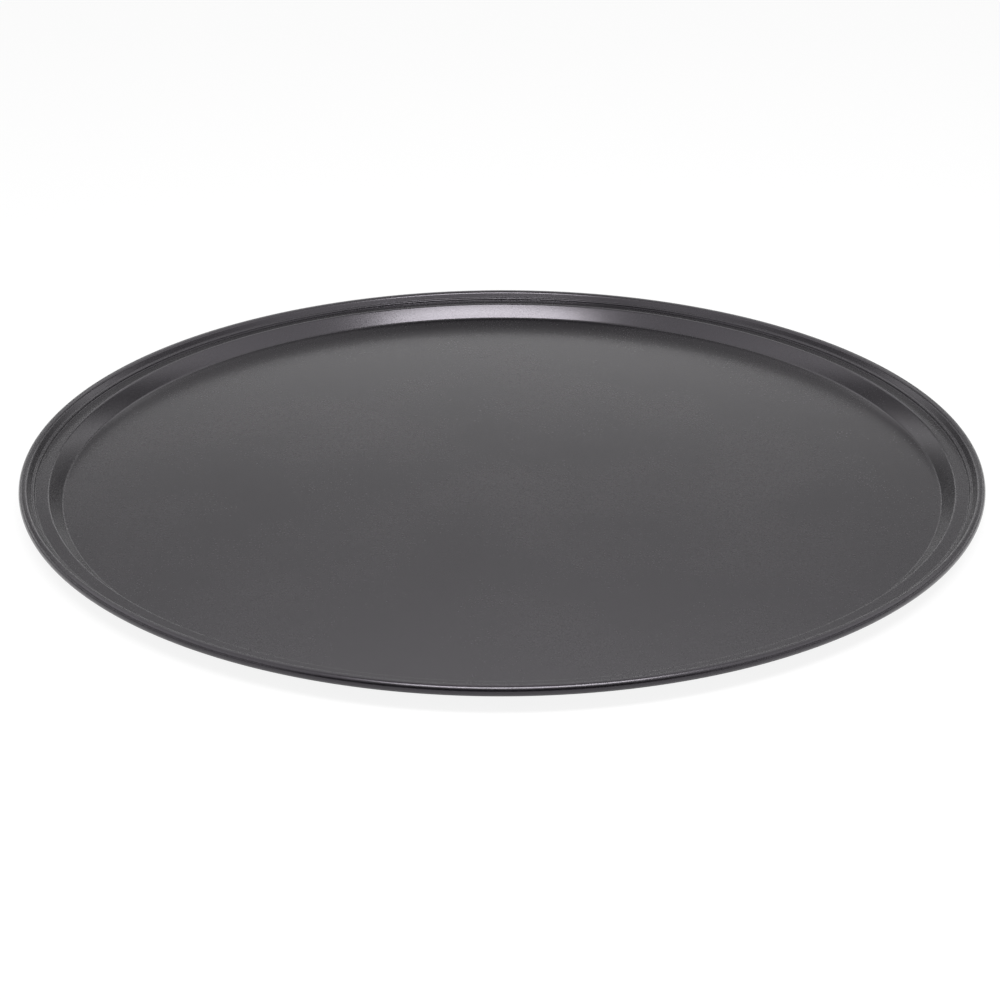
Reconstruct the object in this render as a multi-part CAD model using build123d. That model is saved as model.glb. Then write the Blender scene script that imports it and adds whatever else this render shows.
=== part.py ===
from build123d import *
import os
from math import acos, cos, degrees, radians, sin, tan

# Round pizza pan: a pressed sheet-steel tray whose rim is rolled round a steel wire.
# Lengths are millimetres and angles are degrees. The origin is the middle of the underside, +Z up.
# Heights and widths of the tray are measured on the sheet's top face.

# Sheet, coating included
sheet = 0.5

# Flat floor, across the corner where the wall starts
floor_diameter = 302.9

# Sloped wall, from the floor up to the flange
wall_height = 5.2
wall_angle = 51.5

# Flat flange round the wall
flange_width = 4.34

# Small step that stiffens the flange, and the land on top of it
step_height = 1.0
step_angle = 75.0
land_width = 0.8

# Straight rise from the land to the rolled rim
rise_height = 1.61
rise_angle = 60.5

# Wire inside the rim, and the play round it
wire_diameter = 2.2
wire_clearance = 0.05

# Gap that stays between the rolled-in edge of the sheet and the back of the rise
roll_end_gap = 0.25

# Gap between the two cut ends of the wire
wire_end_gap = 0.8

# Inside radius of the wall's two bends, on the hollow side of the sheet; the step's tiny bends stay sharp
floor_bend = 0.8
flange_bend = 0.7

# Wire and roll, seen in section
wire_radius = wire_diameter / 2
roll_inner_radius = wire_radius + wire_clearance
roll_outer_radius = roll_inner_radius + sheet

# Corners of the top face in section, from the floor outwards
floor_top = sheet
floor_edge = floor_diameter / 2
flange_top = floor_top + wall_height
flange_start = floor_edge + wall_height / tan(radians(wall_angle))
step_foot = flange_start + flange_width
step_top = step_foot + step_height / tan(radians(step_angle))
land_top = flange_top + step_height
land_end = step_top + land_width
roll_start = land_end + rise_height / tan(radians(rise_angle))
roll_start_top = land_top + rise_height

# Middle of the roll, square to the rise where the roll starts
roll_radius = roll_start + roll_outer_radius * sin(radians(rise_angle))
roll_height = roll_start_top - roll_outer_radius * cos(radians(rise_angle))

# The roll goes right round the wire and stops short of the back of the rise
roll_turn = 360 - degrees(acos((roll_inner_radius - roll_end_gap) / roll_outer_radius))


def shifted(corners, distance):
    """The corners of a line that runs beside the one through the given corners, to its right."""
    points = [Vector(*corner) for corner in corners]
    runs = [(end - start).normalized() for start, end in zip(points, points[1:])]
    rights = [Vector(run.Y, -run.X) for run in runs]
    moved = [points[0] + rights[0] * distance]
    for point, before, after in zip(points[1:], rights, rights[1:]):
        moved.append(point + (before + after) * (distance / (1 + before.dot(after))))
    moved.append(points[-1] + rights[-1] * distance)
    return moved


def tray_section():
    """Half section of the tray: one line of sheet, bent five times and rolled over at its edge."""
    corners = [
        (0, floor_top),
        (floor_edge, floor_top),
        (flange_start, flange_top),
        (step_foot, flange_top),
        (step_top, land_top),
        (land_end, land_top),
        (roll_start, roll_start_top),
    ]
    # A bend is rounder on its outer side by the thickness of the sheet
    top_radii = [floor_bend, flange_bend + sheet, 0, 0, 0]
    under_radii = [floor_bend + sheet, flange_bend, 0, 0, 0]
    top = FilletPolyline(*corners, radius=top_radii)
    under = FilletPolyline(*shifted(corners, sheet), radius=under_radii)
    roll_outside = JernArc(top @ 1, top % 1, roll_outer_radius, -roll_turn)
    roll_inside = JernArc(under @ 1, under % 1, roll_inner_radius, -roll_turn)
    middle = Line(under @ 0, top @ 0)
    cut_edge = Line(roll_outside @ 1, roll_inside @ 1)
    outline = [*middle.edges(), *top.edges(), *roll_outside.edges()]
    outline += [*cut_edge.edges(), *roll_inside.edges(), *under.edges()]
    return Plane.XZ * make_face(Wire(outline))


def pan_body():
    """The pressed tray with its rolled rim, in one piece of sheet."""
    return revolve(tray_section(), Axis.Z)


def rim_wire():
    """The wire that the rim is rolled round: a ring whose cut ends nearly meet."""
    section = Plane.XZ * Pos(roll_radius, roll_height) * Circle(wire_radius)
    gap_angle = degrees(wire_end_gap / roll_radius)
    ring = revolve(section, Axis.Z, 360 - gap_angle)
    return ring.rotate(Axis.Z, gap_angle / 2)


os.makedirs("parts", exist_ok=True)
export_step(pan_body(), "parts/pan_body.step")
export_step(rim_wire(), "parts/rim_wire.step")

print("outer diameter", round(2 * (roll_radius + roll_outer_radius), 2))
print("overall height", round(roll_height + roll_outer_radius, 2))
print("flange diameter", round(2 * flange_start, 2), "to", round(2 * step_foot, 2))
print("roll turn", round(roll_turn, 1))
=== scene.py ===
from math import acos, ceil, cos, pi, radians, sin, tan

import bmesh
import bpy
from mathutils import Matrix, Vector


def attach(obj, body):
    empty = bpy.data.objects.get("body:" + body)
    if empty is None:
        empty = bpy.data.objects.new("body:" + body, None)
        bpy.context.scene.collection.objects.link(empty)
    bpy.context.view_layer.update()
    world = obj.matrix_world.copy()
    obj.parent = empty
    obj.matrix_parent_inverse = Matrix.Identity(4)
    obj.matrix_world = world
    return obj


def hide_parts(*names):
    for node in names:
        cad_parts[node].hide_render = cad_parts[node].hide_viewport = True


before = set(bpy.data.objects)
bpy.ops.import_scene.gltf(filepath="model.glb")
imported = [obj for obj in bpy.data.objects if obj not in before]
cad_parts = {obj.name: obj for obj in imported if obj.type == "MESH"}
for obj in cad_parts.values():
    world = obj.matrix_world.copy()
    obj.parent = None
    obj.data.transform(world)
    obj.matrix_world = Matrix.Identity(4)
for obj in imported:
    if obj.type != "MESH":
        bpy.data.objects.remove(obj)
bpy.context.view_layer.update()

# Round pizza pan, dressed for the photograph. Lengths are metres, in the CAD model's own frame:
# the origin is the middle of the underside, and +Z is up.
MM = 0.001

# Sizes of the sheet
SHEET = 0.5 * MM
FLOOR_RADIUS = 151.45 * MM
WALL_HEIGHT = 5.2 * MM
WALL_ANGLE = radians(51.5)
FLANGE_WIDTH = 4.34 * MM
STEP_HEIGHT = 1.0 * MM
STEP_ANGLE = radians(75.0)
LAND_WIDTH = 0.8 * MM
RISE_HEIGHT = 1.61 * MM
RISE_ANGLE = radians(60.5)
ROLL_INSIDE = 1.15 * MM
ROLL_END_GAP = 0.25 * MM
# Radius of each bend on the top face; a bend that turns down is rounder there by the sheet
FLOOR_BEND = 0.8 * MM
FLANGE_BEND = 0.7 * MM + SHEET
STEP_FOOT_BEND = 0.3 * MM
STEP_TOP_BEND = 0.1 * MM + SHEET
RISE_FOOT_BEND = 0.35 * MM
# The wall bows out a little: it is steeper by this much at its foot and flatter at its top
WALL_BOW = radians(2.0)

# Non-stick coat: speckled base colour, tint of the gloss, and roughness from cloud to cloud
BASE_DARK = (0.0005, 0.0003, 0.0006, 1.0)
BASE_LIGHT = (0.0045, 0.0038, 0.0050, 1.0)
GLOSS_TINT = (0.965, 0.91, 1.0, 1.0)
COAT_IOR = 1.5
COAT_ROUGHNESS = (0.25, 0.27)
GRAIN_ROUGHNESS = (-0.02, 0.02)
SPECKLE_SIZE = 0.8 * MM
GRAIN_SIZE = 0.7 * MM
GRAIN_DEPTH = 0.009 * MM
WAVE_SIZE = 9 * MM
WAVE_DEPTH = 0.012 * MM
CLOUD_SIZE = 60 * MM
# Values that fine and coarse noise keep within almost everywhere
FINE_NOISE = (0.3, 0.7)
COARSE_NOISE = (0.35, 0.65)

# Zinc on the wire: dark and light spangle, and the marks that drawing left
SPANGLE_DARK = (0.42, 0.43, 0.45, 1.0)
SPANGLE_LIGHT = (0.62, 0.63, 0.65, 1.0)
SPANGLE_SIZE = 2 * MM
ZINC_ROUGHNESS = (0.3, 0.5)
MARK_SIZE = 0.15 * MM
MARK_DEPTH = 0.005 * MM

# Fineness of the mesh; FLOOR_RINGS also counts the rows up the bowed wall
SEGMENTS = 384
ARC_STEP = radians(6.0)
FLOOR_RINGS = 8


# Shape


def left_of(heading):
    """Unit vector square to a line in section, on its left, which is the sheet's top side."""
    return Vector((-sin(heading), cos(heading)))


def along(heading):
    """Unit vector in a heading."""
    return Vector((cos(heading), sin(heading)))


def turned(place, heading, radius, turn, steps=0):
    """Points of an arc that starts at place in the given heading; a left turn counts as plus."""
    side = 1 if turn > 0 else -1
    centre = place + side * radius * left_of(heading)
    steps = steps or ceil(abs(turn) / ARC_STEP)
    headings = [heading + turn * k / steps for k in range(1, steps + 1)]
    return [(centre - side * radius * left_of(h), h) for h in headings]


def top_line():
    """Section of the sheet's top face, from the axis to the roll, as (point, heading) pairs."""
    runs = [
        (FLOOR_RADIUS, 0.0, 0.0),
        (WALL_HEIGHT / sin(WALL_ANGLE), WALL_ANGLE, WALL_BOW),
        (FLANGE_WIDTH, 0.0, 0.0),
        (STEP_HEIGHT / sin(STEP_ANGLE), STEP_ANGLE, 0.0),
        (LAND_WIDTH, 0.0, 0.0),
        (RISE_HEIGHT / sin(RISE_ANGLE), RISE_ANGLE, 0.0),
    ]
    radii = [FLOOR_BEND, FLANGE_BEND, STEP_FOOT_BEND, STEP_TOP_BEND, RISE_FOOT_BEND]
    headings = [heading for _, heading, _ in runs]
    turns = [after - before for before, after in zip(headings, headings[1:])]
    cuts = [0.0, *(radius * tan(abs(turn) / 2) for radius, turn in zip(radii, turns)), 0.0]
    line = [(Vector((0.0, SHEET)), 0.0)]
    for k, (length, heading, bow) in enumerate(runs):
        place, _ = line[-1]
        straight = length - cuts[k] - cuts[k + 1]
        if bow:
            bowed_radius = straight / (2 * bow)
            line += turned(place, heading + bow, bowed_radius, -2 * bow, FLOOR_RINGS)
        else:
            pieces = FLOOR_RINGS if k == 0 else 1
            ends = [straight * n / pieces for n in range(1, pieces + 1)]
            line += [(place + along(heading) * end, heading) for end in ends]
        if k < len(turns):
            place, _ = line[-1]
            start = heading - bow
            finish = headings[k + 1] + runs[k + 1][2]
            line += turned(place, start, radii[k], finish - start)
    return line


def pan_outline():
    """The whole section of the pan: the top face out, round the roll, and the underside back."""
    line = top_line()
    roll_outside = ROLL_INSIDE + SHEET
    roll_turn = 2 * pi - acos((ROLL_INSIDE - ROLL_END_GAP) / roll_outside)
    place, heading = line[-1]
    line += turned(place, heading, roll_outside, -roll_turn)
    top = [point for point, _ in line]
    under = [point - SHEET * left_of(heading) for point, heading in line]
    return top + under[::-1]


def lathe(name, outline, segments):
    """A closed mesh turned about Z from an outline that starts and ends on the axis."""
    shape = bmesh.new()
    angles = [2 * pi * k / segments for k in range(segments)]
    start, *middle, end = outline
    rings = [
        [shape.verts.new((radius * cos(a), radius * sin(a), height)) for a in angles]
        for radius, height in middle
    ]
    for ring, following in zip(rings, rings[1:]):
        for k in range(segments):
            shape.faces.new((ring[k - 1], ring[k], following[k], following[k - 1]))
    for (_, height), ring in ((start, rings[0]), (end, rings[-1])):
        tip = shape.verts.new((0.0, 0.0, height))
        for k in range(segments):
            shape.faces.new((ring[k - 1], ring[k], tip))
    bmesh.ops.recalc_face_normals(shape, faces=shape.faces)
    for face in shape.faces:
        face.smooth = True
    mesh = bpy.data.meshes.new(name)
    shape.to_mesh(mesh)
    shape.free()
    turned_piece = bpy.data.objects.new(name, mesh)
    bpy.context.scene.collection.objects.link(turned_piece)
    return turned_piece


# Materials


def blank_material(name):
    """A new material and its shader."""
    material = bpy.data.materials.new(name)
    material.use_nodes = True
    return material, material.node_tree.nodes["Principled BSDF"]


class Nodes:
    """Short ways to add nodes to one material, or to the world."""

    def __init__(self, tree):
        self.tree = tree
        self.place = self.add("TexCoord").outputs

    def add(self, kind, **settings):
        node = self.tree.nodes.new("ShaderNode" + kind)
        for name, value in settings.items():
            setattr(node, name, value)
        return node

    def feed(self, socket, value):
        if isinstance(value, bpy.types.NodeSocket):
            self.tree.links.new(value, socket)
        else:
            socket.default_value = value

    def noise(self, size, detail, roughness=0.5):
        """Noise whose features are about size metres across, from 0 to 1."""
        node = self.add("TexNoise")
        self.feed(node.inputs["Vector"], self.place["Object"])
        self.feed(node.inputs["Scale"], 1 / size)
        self.feed(node.inputs["Detail"], detail)
        self.feed(node.inputs["Roughness"], roughness)
        return node.outputs["Fac"]

    def math(self, operation, a, b=0.0):
        node = self.add("Math", operation=operation)
        self.feed(node.inputs[0], a)
        self.feed(node.inputs[1], b)
        return node.outputs[0]

    def spread(self, value, low, high, from_low=0.0, from_high=1.0):
        """The value moved from one range to another, and held inside it."""
        node = self.add("MapRange")
        names = ("Value", "From Min", "From Max", "To Min", "To Max")
        for name, number in zip(names, (value, from_low, from_high, low, high)):
            self.feed(node.inputs[name], number)
        return node.outputs["Result"]

    def ramp(self, value, stops):
        """The value led along straight lines through stops, which are (value, result) pairs."""
        node = self.add("ValToRGB")
        line = node.color_ramp.elements
        line.remove(line[1])
        line[0].position, line[0].color = stops[0][0], (stops[0][1],) * 4
        for place, result in stops[1:]:
            line.new(place).color = (result,) * 4
        self.feed(node.inputs[0], value)
        return node.outputs["Color"]

    def mix(self, share, a, b):
        node = self.add("Mix", data_type="RGBA")
        self.feed(node.inputs["Factor"], share)
        self.feed(node.inputs["A"], a)
        self.feed(node.inputs["B"], b)
        return node.outputs["Result"]

    def bump(self, height, depth, below=None):
        """A bump whose height of 1 stands depth metres proud; below is a bump that it adds to."""
        node = self.add("Bump")
        self.feed(node.inputs["Height"], height)
        self.feed(node.inputs["Distance"], depth)
        if below is not None:
            self.feed(node.inputs["Normal"], below)
        return node.outputs["Normal"]


def non_stick_coat():
    """Dark non-stick coat, sprayed and baked: fine grain, slight waves and a soft gloss."""
    material, shader = blank_material("non_stick_coat")
    use = Nodes(material.node_tree)
    grain = use.noise(GRAIN_SIZE, detail=3.0, roughness=0.65)
    speckle = use.noise(SPECKLE_SIZE, detail=2.0)
    waves = use.noise(WAVE_SIZE, detail=1.0)
    clouds = use.noise(CLOUD_SIZE, detail=2.0)

    speckled = use.spread(speckle, 0.0, 1.0, *FINE_NOISE)
    use.feed(shader.inputs["Base Color"], use.mix(speckled, BASE_DARK, BASE_LIGHT))
    cloudy = use.spread(clouds, *COAT_ROUGHNESS, *COARSE_NOISE)
    grainy = use.spread(grain, *GRAIN_ROUGHNESS, *FINE_NOISE)
    use.feed(shader.inputs["Roughness"], use.math("ADD", cloudy, grainy))
    shader.inputs["IOR"].default_value = COAT_IOR
    shader.inputs["Specular Tint"].default_value = GLOSS_TINT
    pressed = use.bump(waves, WAVE_DEPTH)
    use.feed(shader.inputs["Normal"], use.bump(grain, GRAIN_DEPTH, pressed))
    return material


def galvanised_wire():
    """Zinc-coated steel wire with a cloudy spangle and fine drawing marks."""
    material, shader = blank_material("galvanised_wire")
    use = Nodes(material.node_tree)
    spangle = use.noise(SPANGLE_SIZE, detail=2.0)
    marks = use.noise(MARK_SIZE, detail=3.0)
    use.feed(shader.inputs["Base Color"], use.mix(spangle, SPANGLE_DARK, SPANGLE_LIGHT))
    use.feed(shader.inputs["Roughness"], use.spread(marks, *ZINC_ROUGHNESS))
    shader.inputs["Metallic"].default_value = 1.0
    use.feed(shader.inputs["Normal"], use.bump(marks, MARK_DEPTH))
    return material


# Pieces
pan = lathe("pan", pan_outline(), SEGMENTS)
pan.data.materials.append(non_stick_coat())
pan.modifiers.new("even_normals", "WEIGHTED_NORMAL")
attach(pan, "root")
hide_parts("pan_body")

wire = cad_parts["rim_wire"]
wire.data.materials.clear()
wire.data.materials.append(galvanised_wire())
for face in wire.data.polygons:
    face.use_smooth = True


# Studio
TABLE_SIZE = 12.0
TABLE_WHITE = 0.9
TABLE_ROUGHNESS = 0.9
# Share of the table that is plain white to the camera; the rest takes the light and the shadow
PLAIN_SHARE = 0.88

SOFTBOX_PLACE = Vector((0.06, -0.42, 0.86))
SOFTBOX_AIM = Vector((0.0, 0.1, 0.0))
SOFTBOX_SIZE = (0.70, 0.20)
SOFTBOX_POWER = 11.0

# The studio round the pan: pairs of the sine of the elevation and the glow there. The rim's
# reflection against the low bright band is the dark crescent along the back of the floor
GLOW = (
    (0.0, 0.3), (0.16, 0.45), (0.21, 1.6), (0.24, 3.3), (0.267, 3.5), (0.28, 2.3),
    (0.295, 1.2), (0.32, 0.7), (0.345, 0.6), (0.38, 0.3), (0.42, 0.15), (0.50, 0.35),
    (0.56, 2.6), (0.62, 2.3), (0.70, 1.8), (0.80, 2.0), (0.92, 2.1), (0.96, 0.4),
)
# It is dark on the pan's near side: its share there, and the Y of the direction where it fades in
DARK_SIDE = 0.05
DARK_SIDE_RISE = (-0.72, -0.62)
# Its share to the left and right, by how far across the direction points
ACROSS = ((0.0, 1.0), (0.08, 1.0), (0.25, 0.88), (0.42, 0.66), (0.70, 1.1))
# Share of it that lights dull surfaces
WORLD_LIGHT = 0.35


def studio_floor():
    """White table top that keeps the pan's shadow."""
    mesh = bpy.data.meshes.new("studio_floor")
    half = TABLE_SIZE / 2
    corners = [(-half, -half, 0), (half, -half, 0), (half, half, 0), (-half, half, 0)]
    mesh.from_pydata(corners, [], [(0, 1, 2, 3)])
    floor = bpy.data.objects.new("studio_floor", mesh)
    bpy.context.scene.collection.objects.link(floor)
    material, shader = blank_material("white_table")
    use = Nodes(material.node_tree)
    shader.inputs["Base Color"].default_value = (TABLE_WHITE, TABLE_WHITE, TABLE_WHITE, 1.0)
    shader.inputs["Roughness"].default_value = TABLE_ROUGHNESS
    plain = use.add("Emission")
    seen = use.math("MULTIPLY", use.add("LightPath").outputs["Is Camera Ray"], PLAIN_SHARE)
    both = use.add("MixShader")
    use.feed(both.inputs[0], seen)
    use.feed(both.inputs[1], shader.outputs["BSDF"])
    use.feed(both.inputs[2], plain.outputs["Emission"])
    output = material.node_tree.nodes["Material Output"]
    use.feed(output.inputs["Surface"], both.outputs["Shader"])
    mesh.materials.append(material)


def softbox():
    """The lamp that makes the highlight on the back of the wall."""
    lamp = bpy.data.lights.new("softbox", "AREA")
    lamp.shape = "RECTANGLE"
    lamp.size, lamp.size_y = SOFTBOX_SIZE
    lamp.energy = SOFTBOX_POWER
    box = bpy.data.objects.new("softbox", lamp)
    box.location = SOFTBOX_PLACE
    box.rotation_euler = (SOFTBOX_AIM - SOFTBOX_PLACE).to_track_quat("-Z", "Y").to_euler()
    bpy.context.scene.collection.objects.link(box)


def studio_world():
    """The pale room round the pan: plain white to the camera, and GLOW to the pan."""
    world = bpy.data.worlds.new("studio")
    world.use_nodes = True
    bpy.context.scene.world = world
    tree = world.node_tree
    use = Nodes(tree)
    back = tree.nodes["Background"]
    parts = use.add("SeparateXYZ")
    use.feed(parts.inputs[0], use.place["Generated"])
    across, ahead, up = parts.outputs
    path = use.add("LightPath")
    aside = use.ramp(use.math("ABSOLUTE", across), ACROSS)
    glow = use.math("MULTIPLY", use.ramp(up, GLOW), aside)
    glow = use.math("MULTIPLY", glow, use.spread(ahead, DARK_SIDE, 1.0, *DARK_SIDE_RISE))
    lighting = use.math("MULTIPLY", path.outputs["Is Diffuse Ray"], 1.0 - WORLD_LIGHT)
    strength = use.math("MULTIPLY", glow, use.math("SUBTRACT", 1.0, lighting))
    shown = use.math("MAXIMUM", strength, path.outputs["Is Camera Ray"])
    back.inputs["Color"].default_value = (1.0, 1.0, 1.0, 1.0)
    use.feed(back.inputs["Strength"], shown)


studio_floor()
softbox()
studio_world()


# Camera
# The camera stands on the pan's near side and looks along +Y; pitch turns it down past the
# middle of the floor
CAMERA_DISTANCE = 0.607
CAMERA_ELEVATION = radians(24.27)
CAMERA_PITCH = radians(1.275)
CAMERA_YAW = radians(-0.07)
CAMERA_ROLL = radians(-0.1)
CAMERA_LENS = 61.74

camera = bpy.data.objects.new("camera", bpy.data.cameras.new("camera"))
camera.data.lens = CAMERA_LENS
camera_back = CAMERA_DISTANCE * cos(CAMERA_ELEVATION)
camera_height = CAMERA_DISTANCE * sin(CAMERA_ELEVATION) + SHEET
eye = Vector((0.0, -camera_back, camera_height))
tilt = Matrix.Rotation(pi / 2 - CAMERA_ELEVATION - CAMERA_PITCH, 4, "X")
turn = Matrix.Rotation(-CAMERA_YAW, 4, "Z")
roll = Matrix.Rotation(CAMERA_ROLL, 4, "Z")
camera.matrix_world = Matrix.Translation(eye) @ turn @ tilt @ roll
bpy.context.scene.collection.objects.link(camera)
bpy.context.scene.camera = camera
bpy.context.scene.view_settings.view_transform = "Standard"
